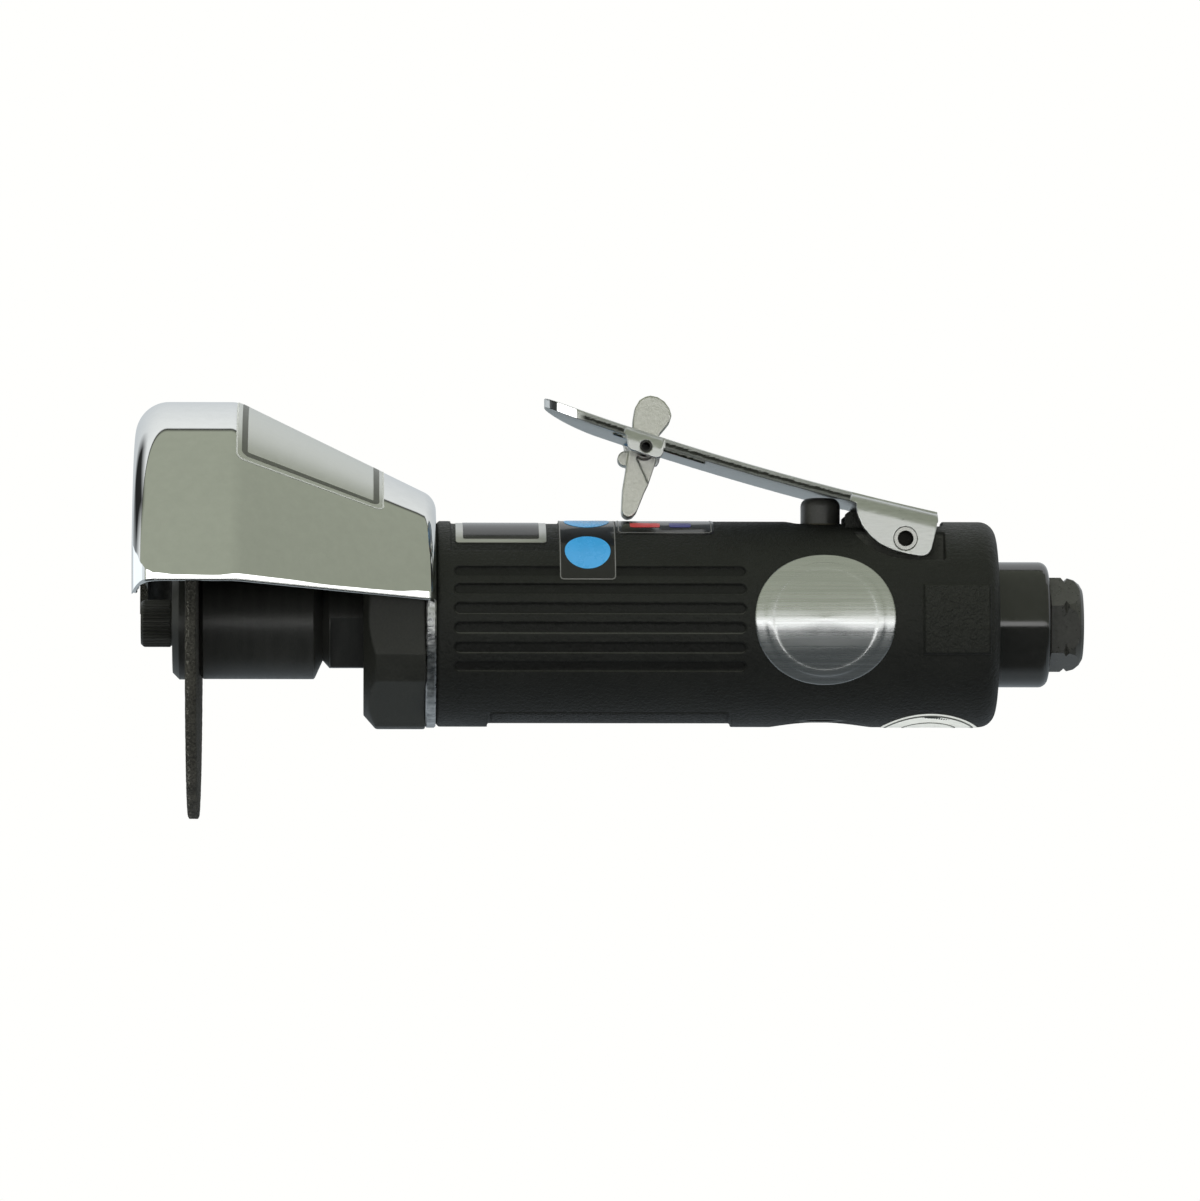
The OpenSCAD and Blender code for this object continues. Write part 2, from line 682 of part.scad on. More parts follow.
housing();
clamp_nut();
front_seal();
front_end_plate();
cylinder_liner();
rear_end_plate();
locating_dowel();
front_bearing_outer();
rear_bearing_outer();
front_bearing_balls();
rear_bearing_balls();
front_bearing_inner();
rear_bearing_inner();
rotor();
rotor_vane_1();
rotor_vane_2();
rotor_vane_3();
rotor_vane_4();
spindle_hub();
cutting_wheel();
outer_flange();
wheel_screw();
wheel_guard();
throttle_lever();
lever_pin();
lock_off_lever();
lock_off_pin();
lock_off_spring();
valve_plunger();
plunger_o_ring();
valve_disc();
valve_bushing();
valve_seat();
valve_spring();
valve_plug();
inlet_bushing();
inlet_screen();
exhaust_deflector();
muffler_ring();
badge();
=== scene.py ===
import bpy
import json
import math
import random
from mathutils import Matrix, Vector


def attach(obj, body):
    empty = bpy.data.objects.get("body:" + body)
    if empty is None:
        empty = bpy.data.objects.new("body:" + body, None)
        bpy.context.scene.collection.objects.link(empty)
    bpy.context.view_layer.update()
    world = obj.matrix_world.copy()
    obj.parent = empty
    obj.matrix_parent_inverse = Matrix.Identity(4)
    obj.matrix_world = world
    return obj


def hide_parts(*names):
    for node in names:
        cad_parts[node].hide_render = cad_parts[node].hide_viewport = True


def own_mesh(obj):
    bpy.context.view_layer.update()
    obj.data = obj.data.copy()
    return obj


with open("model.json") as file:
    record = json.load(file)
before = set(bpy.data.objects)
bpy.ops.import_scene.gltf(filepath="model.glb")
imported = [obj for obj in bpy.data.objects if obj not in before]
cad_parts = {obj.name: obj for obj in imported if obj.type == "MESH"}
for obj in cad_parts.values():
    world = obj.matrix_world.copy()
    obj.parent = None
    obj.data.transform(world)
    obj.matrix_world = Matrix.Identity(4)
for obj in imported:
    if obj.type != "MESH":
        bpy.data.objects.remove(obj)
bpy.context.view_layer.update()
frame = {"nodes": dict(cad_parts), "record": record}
nodes = frame["nodes"]
MM = 0.001

# Handle, in millimetres; R is a radius about the tool's axis, which is X
HOUSING_R = 20.0
HOUSING_FRONT = -125.8
PLATE_SEAT_R = 19.5
PAD_X = (-31.7, -19.2)
PAD_Z = (-6.6, 6.6)
RECESS_X = (-115.0, -69.3)
RECESS_Z = (-30.0, -17.8)
POCKET_X = (-46.4, -27.5)
POCKET_Z = (9.0, 19.5)
POCKET_R = (19.3, 19.7)
GRIP_X = (-122.5, -65.5)
GRIP_Z = (-16.5, 16.5)
GROOVE_WALL_R = (19.58, 19.88)
GROOVE_FLOOR_R = (19.55, 19.75)

# Guard: its outline, and the lip's height in degrees at positions along X
GUARD_R = 43.0
GUARD_FRONT = -184.0
GUARD_NOSE_R = 6.5
GUARD_MOUTH = 1.5
CONE_FRONT = -165.4
CONE_BEND_R = 6.0
CONE_NORMAL = 64.1
TAIL_BEND_R = 4.0
TAIL_RISE = 1.95
TAIL_DROP = 1.0
GUARD_T = 1.5
GUARD_GRID = 1.6
GUARD_EDGE = 8.25
GUARD_STEPS = 270
LIP_TUCK = 0.048
LIP_BEND = 0.15
LIP_ROWS = (0.0, 0.5, 0.93, 1.0)
LIP_SPANS = ((-184.0, 12.0), (-183.0, 8.0), (-182.0, 4.4), (-181.0, 2.7), (-179.5, 1.5), (-175.4, 0.9),
             (-167.6, 0.75), (-163.5, 1.3), (-154.6, 1.2), (-146.8, 0.8), (-138.9, 1.0), (-133.7, 1.3),
             (-128.5, 2.7), (-125.8, 3.2))
LIP_DIP = 2.2
LIP_DIP_X = -181.3
LIP_DIP_LENGTH = 2.5
RIM_R = 0.4
RING_BORE_R = 17.7
RING_R = 20.2
RING_W = 2.0
RING_CHAMFER = 0.3

# Wheel and its screw
WHEEL_R = 38.0
WHEEL_BORE_R = 4.75
WHEEL_FRONT = -173.8
WHEEL_REAR = -171.6
WHEEL_MIDDLE = -172.7
WHEEL_CHAMFER = 0.25
WHEEL_SIDES = 420
CLAMPED_R = 12.0
WORN_R = 37.0
FIBRES_X = (-173.6, -173.0)
FLANGE_FRONT = -176.8
SCREW_FRONT = -183.0
SCREW_END = -159.5
SHANK_R = 3.0
HEAD_R = 4.6
HEAD_FOOT_R = 4.35
KNURL = 0.24
SOCKET_R = 2.5
SOCKET_DEPTH = 3.5
SCREW_SIDES = 144

# Lever: the arc of its sheet, the stretch with sheared sides, and the painted dark reflection and painted
# highlight on its nose
LEVER_CENTRE = (102.36, 612.43)
LEVER_EDGE_R = 605.8
LEVER_T = 1.8
SHEARED_X = (-97.5, -45.2)
LOCK_EAR_X = (-89.2, -81.5)
NOSE_DARK_X = (-103.7, -102.4)
NOSE_HIGHLIGHT_X = (-102.3, -98.6)
NOSE_FACET = (-0.45, 0.892, -0.05)
HINGE = (-35.0, 16.0)
HINGE_BORE_R = 1.53

# Valve spring and inlet thread
VALVE_X = -50.9
SPRING_R = 2.8
SPRING_WIRE_R = 0.45
SPRING_LOW = -12.45
SPRING_HIGH = 1.2
SPRING_TURNS = 6
THREAD_X = -1.2
THREAD_R = 5.62
THREAD_PITCH = 1.34
THREAD_WIRE_R = 0.42
THREAD_TURNS = 7
TURN_STEPS = 36

# Labels and badge: spans along X, spans in degrees around the axis, and lifts off the surface
FILM_T = 0.14
PANEL_ROWS = 40
PANEL_COLUMNS = 36
CORNER_STEPS = 6
BORDER_STEP = 0.5
LABEL_SIDES = 96
DISC_CORE = 0.1
GUARD_LABEL_X = (-164.2, -135.9)
GUARD_LABEL_TURN = (44, 136)
SIGN_X = (-102, -91.2)
SIGN_TURN = (22, 158)
SIGN_DISC_X = -96.6
BASE_LABEL_X = -29.9
BASE_TURN = -90
BADGE_X = -50.9
BADGE_LIFT = 0.3
BADGE_RING_R = 10.7
BADGE_RING_HALF = 0.75
BADGE_RING_RISE = 0.13
BADGE_EDGE_R = 13.2
BADGE_EDGE_W = 0.4
BADGE_EDGE_DROP = 0.28

# Camera, in millimetres and degrees
AIM = (-93.8, 0, 4.6)
YAW = 1.6
RISE = -3.5
AWAY = 1700
LENS = 261.9
SENSOR = 36

# Studio: the floor in metres, and what metal sees by the angle around X from straight behind the object
FLOOR_Z = -0.18
FLOOR_FRONT = -1.75
FLOOR_REACH = 6
WHITE = (1.0, 1.0, 0.985, 1)
STRIP = (2.6, 2.6, 2.6)
ROOM = (0.36, 0.385, 0.31)
LINE = (0.02, 0.02, 0.02)
SWEEP = ((-180, STRIP), (-175, STRIP), (-173, (0.08, 0.09, 0.10)), (-92, (0.06, 0.065, 0.07)),
         (-88, (0.5, 0.52, 0.53)), (0, (0.54, 0.58, 0.61)), (60.5, (0.90, 0.92, 0.92)), (61.5, LINE),
         (62.7, LINE), (64, ROOM), (176.8, ROOM), (178.6, STRIP), (180, STRIP))


# Shader helpers
def new_material(name):
    mat = bpy.data.materials.new(name)
    mat.use_nodes = True
    tree = mat.node_tree
    shader = tree.nodes["Principled BSDF"]
    return mat, tree, shader


def coords(tree, stretch=(1, 1, 1)):
    where = tree.nodes.new("ShaderNodeTexCoord")
    mapping = tree.nodes.new("ShaderNodeMapping")
    mapping.inputs["Scale"].default_value = stretch
    tree.links.new(where.outputs["Object"], mapping.inputs["Vector"])
    return mapping.outputs["Vector"]


# The X, Y and Z of a texture coordinate
def axes(tree, kind):
    where = tree.nodes.new("ShaderNodeTexCoord")
    split = tree.nodes.new("ShaderNodeSeparateXYZ")
    tree.links.new(where.outputs[kind], split.inputs["Vector"])
    return split.outputs


def noise(tree, vector, scale, detail, rough):
    node = tree.nodes.new("ShaderNodeTexNoise")
    node.inputs["Scale"].default_value = scale
    node.inputs["Detail"].default_value = detail
    node.inputs["Roughness"].default_value = rough
    tree.links.new(vector, node.inputs["Vector"])
    return node.outputs["Fac"]


def ramp(tree, value, stops):
    node = tree.nodes.new("ShaderNodeValToRGB")
    band = node.color_ramp
    while len(band.elements) < len(stops):
        band.elements.new(0.5)
    for element, (place, color) in zip(band.elements, stops):
        element.position = place
        element.color = (*color, 1)
    tree.links.new(value, node.inputs["Fac"])
    return node.outputs["Color"]


# Turns the range from start to end into the range from low to high
def remap(tree, value, low, high, start=0.0, end=1.0):
    node = tree.nodes.new("ShaderNodeMapRange")
    node.inputs["From Min"].default_value = start
    node.inputs["From Max"].default_value = end
    node.inputs["To Min"].default_value = low
    node.inputs["To Max"].default_value = high
    tree.links.new(value, node.inputs["Value"])
    return node.outputs["Result"]


def math_node(tree, operation, a, b=None):
    node = tree.nodes.new("ShaderNodeMath")
    node.operation = operation
    for socket, value in zip(node.inputs, (a, b)):
        if value is None:
            continue
        if isinstance(value, (int, float)):
            socket.default_value = value
        else:
            tree.links.new(value, socket)
    return node.outputs["Value"]


def times(tree, *values):
    product = values[0]
    for value in values[1:]:
        product = math_node(tree, "MULTIPLY", product, value)
    return product


# One inside a range of values, zero outside it, with soft ends
def window(tree, value, ends, soft):
    rise = remap(tree, value, 0.0, 1.0, ends[0] - soft, ends[0] + soft)
    fall = remap(tree, value, 1.0, 0.0, ends[1] - soft, ends[1] + soft)
    return times(tree, rise, fall)


# The same for a range of places in millimetres
def zone(tree, value, ends, soft):
    return window(tree, value, (ends[0] * MM, ends[1] * MM), soft * MM)


def length(tree, a, b):
    squares = math_node(tree, "ADD", times(tree, a, a), times(tree, b, b))
    return math_node(tree, "SQRT", squares)


# Distance from an axis along Y through a point given in millimetres
def distance(tree, place, centre):
    across = math_node(tree, "SUBTRACT", place["X"], centre[0] * MM)
    up = math_node(tree, "SUBTRACT", place["Z"], centre[1] * MM)
    return length(tree, across, up)


# Replaces what feeds a socket of the shader, where a mask is one
def blend(tree, shader, name, kind, mask, other):
    node = tree.nodes.new("ShaderNodeMix")
    node.data_type = kind
    tree.links.new(mask, node.inputs["Factor"])
    tree.links.new(shader.inputs[name].links[0].from_socket, node.inputs["A"])
    if isinstance(other, tuple):
        node.inputs["B"].default_value = (*other, 1)
    else:
        tree.links.new(other, node.inputs["B"])
    tree.links.new(node.outputs["Result"], shader.inputs[name])


def tint(tree, shader, mask, color):
    blend(tree, shader, "Base Color", "RGBA", mask, color)


def bump(tree, height, strength, depth, normal=None):
    node = tree.nodes.new("ShaderNodeBump")
    node.inputs["Strength"].default_value = strength
    node.inputs["Distance"].default_value = depth
    tree.links.new(height, node.inputs["Height"])
    if normal is not None:
        tree.links.new(normal, node.inputs["Normal"])
    return node.outputs["Normal"]


# A surface that varies with fine noise; rough is a range, relief is a scale, a strength and a depth
def surface(name, dark, light, rough, metallic=0.0, *, grain, relief=None, stretch=(1, 1, 1),
            specular=None):
    mat, tree, shader = new_material(name)
    vector = coords(tree, stretch)
    fine = noise(tree, vector, grain, detail=4.0, rough=0.6)
    broad = noise(tree, vector, grain / 14, detail=2.0, rough=0.5)
    both = math_node(tree, "ADD", times(tree, fine, 0.65), times(tree, broad, 0.35))
    tree.links.new(ramp(tree, both, [(0.32, dark), (0.68, light)]), shader.inputs["Base Color"])
    tree.links.new(remap(tree, both, *rough, start=0.3, end=0.7), shader.inputs["Roughness"])
    shader.inputs["Metallic"].default_value = metallic
    if specular is not None:
        shader.inputs["Specular IOR Level"].default_value = specular
    if relief:
        scale, strength, depth = relief
        skin = noise(tree, vector, scale, detail=3.0, rough=0.6)
        tree.links.new(bump(tree, skin, strength, depth), shader.inputs["Normal"])
    return mat


# Materials of the solids, by material slot
MATS = {
    "black_oxide": surface(
        "black_oxide", (0.012, 0.0125, 0.0105), (0.024, 0.025, 0.021), (0.36, 0.55),
        grain=2200, relief=(2600, 0.25, 0.0001), specular=0.45),
    "rubber_seal": surface(
        "rubber_seal", (0.010, 0.010, 0.010), (0.022, 0.022, 0.022), (0.65, 0.85),
        grain=1800, relief=(2000, 0.3, 0.0001)),
    "machined_steel": surface(
        "machined_steel", (0.33, 0.33, 0.33), (0.52, 0.52, 0.51), (0.26, 0.42), 1.0,
        grain=900, stretch=(6, 1, 1), relief=(900, 0.15, 0.00005)),
    "bearing_steel": surface(
        "bearing_steel", (0.55, 0.55, 0.56), (0.68, 0.68, 0.69), (0.12, 0.22), 1.0,
        grain=1600, stretch=(8, 1, 1)),
    "valve_brass": surface(
        "valve_brass", (0.55, 0.38, 0.12), (0.72, 0.52, 0.2), (0.2, 0.35), 1.0, grain=1500),
    "spring_steel": surface(
        "spring_steel", (0.34, 0.34, 0.33), (0.5, 0.5, 0.49), (0.25, 0.4), 1.0, grain=2500),
    "inlet_steel": surface(
        "inlet_steel", (0.022, 0.022, 0.020), (0.042, 0.042, 0.038), (0.24, 0.4),
        grain=1500, relief=(1700, 0.2, 0.00008), specular=0.6),
    "badge_aluminium": surface(
        "badge_aluminium", (0.66, 0.67, 0.67), (0.82, 0.83, 0.83), (0.2, 0.36), 1.0,
        grain=700, stretch=(0.04, 1, 3)),
    "vane_plastic": surface(
        "vane_plastic", (0.15, 0.06, 0.02), (0.27, 0.12, 0.05), (0.4, 0.6),
        grain=1500, stretch=(0.3, 1, 1)),
    "hub_steel": surface(
        "hub_steel", (0.011, 0.0112, 0.0105), (0.028, 0.0285, 0.026), (0.28, 0.46),
        grain=1400, stretch=(8, 1, 1), relief=(1200, 0.2, 0.00006), specular=0.6),
    "chrome_guard": surface(
        "chrome_guard", (0.80, 0.81, 0.80), (0.86, 0.87, 0.86), (0.02, 0.05), 1.0, grain=500),
    "guard_inside": surface(
        "guard_inside", (0.10, 0.10, 0.10), (0.17, 0.17, 0.165), (0.38, 0.6), 1.0,
        grain=900, relief=(900, 0.3, 0.0001)),
    "cast_silver": surface(
        "cast_silver", (0.50, 0.50, 0.46), (0.70, 0.70, 0.65), (0.30, 0.46), 1.0,
        grain=1300, relief=(1100, 0.3, 0.00014)),
    "plunger_black": surface(
        "plunger_black", (0.032, 0.032, 0.030), (0.060, 0.059, 0.054), (0.28, 0.42),
        grain=1800, relief=(1800, 0.15, 0.00006), specular=0.6),
    "gloss_black": surface(
        "gloss_black", (0.007, 0.007, 0.006), (0.013, 0.013, 0.012), (0.08, 0.16),
        grain=700, specular=0.8),
    "felt": surface(
        "felt", (0.22, 0.21, 0.2), (0.36, 0.35, 0.33), (0.85, 1.0),
        grain=2600, relief=(2600, 0.8, 0.0004)),
}


# Lever: plated sheet with torn bands along its sheared sides; on its nose a painted dark reflection and a
# painted highlight on a smooth, tilted facet
def lever_material():
    mat = surface("lever_nickel", (0.56, 0.57, 0.56), (0.72, 0.73, 0.72), (0.26, 0.42), 1.0,
                  grain=1600, relief=(1200, 0.12, 0.00008), stretch=(0.25, 1, 1))
    tree = mat.node_tree
    shader = tree.nodes["Principled BSDF"]
    place = axes(tree, "Object")
    facing = axes(tree, "Normal")
    depth = remap(tree, distance(tree, place, LEVER_CENTRE), 0.0, 1.0,
                  start=LEVER_EDGE_R * MM, end=(LEVER_EDGE_R + LEVER_T) * MM)
    torn = noise(tree, coords(tree, (0.35, 1, 2.5)), 1500, detail=4.0, rough=0.7)
    depth = math_node(tree, "ADD", depth, remap(tree, torn, -0.13, 0.13, start=0.3, end=0.7))
    bands = ramp(tree, depth, [(0.30, (0.60, 0.61, 0.60)), (0.40, (0.06, 0.062, 0.055)),
                               (0.62, (0.07, 0.072, 0.065)), (0.74, (0.30, 0.31, 0.30))])
    sideways = remap(tree, math_node(tree, "ABSOLUTE", facing["Y"]), 0.0, 1.0, start=0.80, end=0.92)
    clear_of_ear = math_node(tree, "SUBTRACT", 1.0, zone(tree, place["X"], LOCK_EAR_X, 0.1))
    sheared = times(tree, sideways, zone(tree, place["X"], SHEARED_X, 0.6), clear_of_ear)
    tint(tree, shader, sheared, bands)
    upright = remap(tree, math_node(tree, "ABSOLUTE", facing["Z"]), 1.0, 0.0, start=0.4, end=0.6)
    # Painted dark reflection: dark colour on the upright faces at the tip of the nose
    nose_dark = times(tree, upright, zone(tree, place["X"], NOSE_DARK_X, 0.1))
    tint(tree, shader, nose_dark, (0.03, 0.03, 0.028))
    # Painted highlight: near-white colour on the upright faces of the nose, with lower roughness and a
    # tilted normal
    nose_highlight = times(tree, upright, zone(tree, place["X"], NOSE_HIGHLIGHT_X, 0.1))
    tint(tree, shader, nose_highlight, (0.95, 0.95, 0.95))
    rough = shader.inputs["Roughness"].links[0].from_socket
    rough = math_node(tree, "ADD", rough, times(tree, sheared, 0.3))
    rough = times(tree, rough, remap(tree, nose_highlight, 1.0, 0.15))
    tree.links.new(rough, shader.inputs["Roughness"])
    facet = tree.nodes.new("ShaderNodeCombineXYZ")
    facet.inputs["X"].default_value = NOSE_FACET[0]
    side = math_node(tree, "SIGN", facing["Y"])
    tree.links.new(times(tree, side, NOSE_FACET[1]), facet.inputs["Y"])
    facet.inputs["Z"].default_value = NOSE_FACET[2]
    blend(tree, shader, "Normal", "VECTOR", nose_highlight, facet.outputs["Vector"])
    return mat


# Housing: cast skin, coarser on the rear pads and in the recess below, with painted light on the pocket
# wall and on the upward groove walls, and painted shade in the groove floors
def housing_material():
    mat = surface("cast_black", (0.0055, 0.006, 0.005), (0.011, 0.012, 0.010), (0.42, 0.62),
                  grain=1400, specular=0.42)
    tree = mat.node_tree
    shader = tree.nodes["Principled BSDF"]
    place = axes(tree, "Object")
    facing = axes(tree, "Normal")
    radius = length(tree, place["Y"], place["Z"])
    pad = times(tree, zone(tree, place["X"], PAD_X, 0.2), zone(tree, place["Z"], PAD_Z, 0.2))
    recess = times(tree, zone(tree, place["X"], RECESS_X, 0.3), zone(tree, place["Z"], RECESS_Z, 0.2))
    skin = noise(tree, coords(tree), 1500, detail=3.0, rough=0.65)
    coarse = math_node(tree, "ADD", pad, times(tree, recess, 1.6))
    leather = times(tree, coarse, noise(tree, coords(tree), 2000, detail=2.0, rough=0.5))
    relief = bump(tree, leather, 1.0, 0.0007, bump(tree, skin, 0.95, 0.00034))
    tree.links.new(relief, shader.inputs["Normal"])
    # Painted light: lighter colour on the pocket wall around the hinge ear
    lit_pocket = times(tree, zone(tree, place["X"], POCKET_X, 0.2), zone(tree, place["Z"], POCKET_Z, 0.2),
                   remap(tree, radius, 1.0, 0.0, start=POCKET_R[0] * MM, end=POCKET_R[1] * MM))
    tint(tree, shader, lit_pocket, (0.048, 0.050, 0.043))
    tint(tree, shader, times(tree, pad, 0.6), (0.020, 0.021, 0.018))
    grip = times(tree, zone(tree, place["X"], GRIP_X, 0.2), zone(tree, place["Z"], GRIP_Z, 0.2))
    # Painted highlight: lighter colour on the upward-facing walls of the grooves
    upward = remap(tree, facing["Z"], 0.0, 1.0, start=0.45, end=0.65)
    lit_groove_wall = times(tree, grip, zone(tree, radius, GROOVE_WALL_R, 0.06), upward)
    tint(tree, shader, lit_groove_wall, (0.060, 0.062, 0.054))
    # Painted shade: darker colour on the groove floors
    low = remap(tree, radius, 0.7, 0.0, start=GROOVE_FLOOR_R[0] * MM, end=GROOVE_FLOOR_R[1] * MM)
    tint(tree, shader, times(tree, grip, low), (0.003, 0.0034, 0.003))
    return mat


# Pin: plated steel, with painted shade inside the bores at its ends
def pin_material():
    mat = surface("pin_steel", (0.42, 0.42, 0.41), (0.62, 0.62, 0.60), (0.22, 0.38), 1.0, grain=2200)
    tree = mat.node_tree
    off_axis = distance(tree, axes(tree, "Object"), HINGE)
    # Painted shade: dark colour inside the bores
    bore_shade = math_node(tree, "LESS_THAN", off_axis, HINGE_BORE_R * MM)
    tint(tree, tree.nodes["Principled BSDF"], bore_shade, (0.012, 0.012, 0.011))
    return mat


# Wheel: dark grit, with paler fibres near the surface of its front face
def wheel_material():
    mat = surface("abrasive", (0.006, 0.006, 0.005), (0.072, 0.069, 0.060), (0.7, 0.95),
                  grain=2400, relief=(1900, 1.0, 0.0006), specular=0.3)
    tree = mat.node_tree
    front = zone(tree, axes(tree, "Object")["X"], FIBRES_X, 0.2)
    mottle = noise(tree, coords(tree, (1.6, 1, 1)), 1500, detail=3.0, rough=0.7)
    fibres = times(tree, front, remap(tree, mottle, 0.0, 1.0, start=0.54, end=0.62))
    tint(tree, tree.nodes["Principled BSDF"], fibres, (0.15, 0.145, 0.13))
    return mat


MATS["lever_nickel"] = lever_material()
MATS["abrasive"] = wheel_material()
MATS["cast_housing"] = housing_material()
slot_of = {row["node"]: row["material_slot"] for row in frame["record"]["subparts"]}
for name, obj in nodes.items():
    obj.data.materials.clear()
    obj.data.materials.append(MATS[slot_of[name]])
nodes["lever_pin"].data.materials[0] = pin_material()
nodes["valve_bushing"].data.materials[0] = surface(
    "oiled_bushing", (0.022, 0.020, 0.012), (0.055, 0.050, 0.032), (0.4, 0.6), 0.6, grain=1600)

# Camera
scene = bpy.context.scene
scene.view_settings.view_transform = "Standard"
aim = Vector(AIM) * MM
yaw, rise = math.radians(YAW), math.radians(RISE)
back = Vector((-math.sin(yaw) * math.cos(rise), -math.cos(yaw) * math.cos(rise), math.sin(rise)))
cam_data = bpy.data.cameras.new("camera")
cam_data.lens = LENS
cam_data.sensor_width = SENSOR
cam = bpy.data.objects.new("camera", cam_data)
cam.location = aim + back * (AWAY * MM)
cam.rotation_euler = (-back).to_track_quat("-Z", "Y").to_euler()
scene.collection.objects.link(cam)
scene.camera = cam

# World: white for the camera, a pale sweep behind the object and a grey room in front of it for metal
world = bpy.data.worlds.new("studio")
scene.world = world
world.use_nodes = True
tree = world.node_tree
tree.nodes.clear()
toward = axes(tree, "Generated")
turn = math_node(tree, "ARCTAN2", toward["Z"], toward["Y"])
share = remap(tree, turn, 0.0, 1.0, start=-math.pi, end=math.pi)
sweep = ramp(tree, share, [((angle + 180) / 360, color) for angle, color in SWEEP])
# The room is darker towards the inlet end; beyond the wheel stand a dark card and, below it, a bright one
dim = remap(tree, toward["X"], 1.0, 0.86, start=0.0, end=0.8)
behind = window(tree, toward["Y"], (0.17, 1.2), 0.08)
dark_card = times(tree, window(tree, toward["X"], (-0.87, -0.5), 0.06),
                  window(tree, toward["Z"], (0.16, 0.56), 0.09), behind)
pale_card = times(tree, window(tree, toward["X"], (-1.2, -0.45), 0.05),
                  window(tree, toward["Z"], (-0.1, 0.11), 0.03), behind)
cards = math_node(tree, "ADD", remap(tree, dark_card, 1.0, 0.03), pale_card)
shaded = tree.nodes.new("ShaderNodeVectorMath")
shaded.operation = "SCALE"
tree.links.new(sweep, shaded.inputs[0])
tree.links.new(times(tree, dim, cards), shaded.inputs["Scale"])
studio = tree.nodes.new("ShaderNodeBackground")
tree.links.new(shaded.outputs["Vector"], studio.inputs["Color"])
white = tree.nodes.new("ShaderNodeBackground")
white.inputs["Color"].default_value = WHITE
path = tree.nodes.new("ShaderNodeLightPath")
seen = math_node(tree, "MAXIMUM", path.outputs["Is Camera Ray"], path.outputs["Is Transmission Ray"])
mix = tree.nodes.new("ShaderNodeMixShader")
tree.links.new(seen, mix.inputs["Fac"])
tree.links.new(studio.outputs["Background"], mix.inputs[1])
tree.links.new(white.outputs["Background"], mix.inputs[2])
out = tree.nodes.new("ShaderNodeOutputWorld")
tree.links.new(mix.outputs["Shader"], out.inputs["Surface"])


# Soft lamps, in metres and watts
def lamp(name, place, power, size):
    data = bpy.data.lights.new(name, "AREA")
    data.shape = "DISK"
    data.size = size
    data.energy = power
    obj = bpy.data.objects.new(name, data)
    obj.location = place
    obj.rotation_euler = (aim - Vector(place)).to_track_quat("-Z", "Y").to_euler()
    obj.visible_glossy = False
    scene.collection.objects.link(obj)


lamp("softbox_top", place=(-0.25, -0.5, 1.2), power=14, size=0.9)
lamp("softbox_back", place=(0.2, 0.9, 0.9), power=8, size=0.9)


# Mesh helpers, all in millimetres and degrees
def piece(name, verts, faces, mat, body, slot=None, sharp=None):
    mesh = bpy.data.meshes.new(name)
    mesh.from_pydata([(x * MM, y * MM, z * MM) for x, y, z in verts], [], faces)
    mesh.update()
    mesh.validate()
    mesh.polygons.foreach_set("use_smooth", [True] * len(mesh.polygons))
    if sharp:
        mesh.set_sharp_from_angle(angle=math.radians(sharp))
    mesh.materials.append(mat)
    obj = bpy.data.objects.new(name, mesh)
    scene.collection.objects.link(obj)
    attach(obj, body)
    return obj


# A point at a position along X, a radius and an angle around the axis, up from the near side
def around(x, r, angle):
    a = math.radians(angle)
    return (x, -r * math.cos(a), r * math.sin(a))


def arc(cx, cy, r, start, end, steps):
    turns = [math.radians(start + (end - start) * i / steps) for i in range(steps + 1)]
    return [(cx + r * math.cos(a), cy + r * math.sin(a)) for a in turns]


def between(p, q, t):
    return (p[0] + (q[0] - p[0]) * t, p[1] + (q[1] - p[1]) * t)


# The same path with points no further apart than a step
def filled(points, step):
    done = [points[0]]
    for p, q in zip(points, points[1:]):
        n = max(1, math.ceil(math.dist(p, q) / step))
        done += [between(p, q, i / n) for i in range(1, n + 1)]
    return done


# Faces between neighbouring rows of n points, each row a closed loop; the last row may join the first
def quads(steps, rows, n):
    faces = []
    for i in range(steps):
        for k in range(n):
            j, m = (i + 1) % rows, (k + 1) % n
            faces.append((i * n + k, i * n + m, j * n + m, j * n + k))
    return faces


# The same with the faces turned over, between rows that stay apart
def turned_quads(rows, n):
    return [(a, d, c, b) for a, b, c, d in quads(rows - 1, rows, n)]


def end_caps(rows, n):
    return [tuple(reversed(range(n))), tuple((rows - 1) * n + k for k in range(n))]


# A closed profile of (x, r) points swept between two angles around X
def swept(profile, start, end, steps, place=around):
    full = abs(end - start) >= 360
    rows = steps if full else steps + 1
    n = len(profile)
    verts = [place(x, r, start + (end - start) * i / steps) for i in range(rows) for x, r in profile]
    return verts, quads(steps, rows, n) + ([] if full else end_caps(rows, n))


def tube(path, r, sides=12):
    verts = []
    pts = [Vector(p) for p in path]
    side = None
    for i, p in enumerate(pts):
        t = (pts[min(i + 1, len(pts) - 1)] - pts[max(i - 1, 0)]).normalized()
        if side is None:
            side = t.orthogonal().normalized()
        side = (side - t * side.dot(t)).normalized()
        up = t.cross(side)
        for k in range(sides):
            a = 2 * math.pi * k / sides
            verts.append(tuple(p + r * (math.cos(a) * side + math.sin(a) * up)))
    rows = len(pts)
    return verts, quads(rows - 1, rows, sides) + end_caps(rows, sides)


def joined(*parts):
    verts, faces = [], []
    for v, f in parts:
        base = len(verts)
        verts += v
        faces += [tuple(base + i for i in face) for face in f]
    return verts, faces


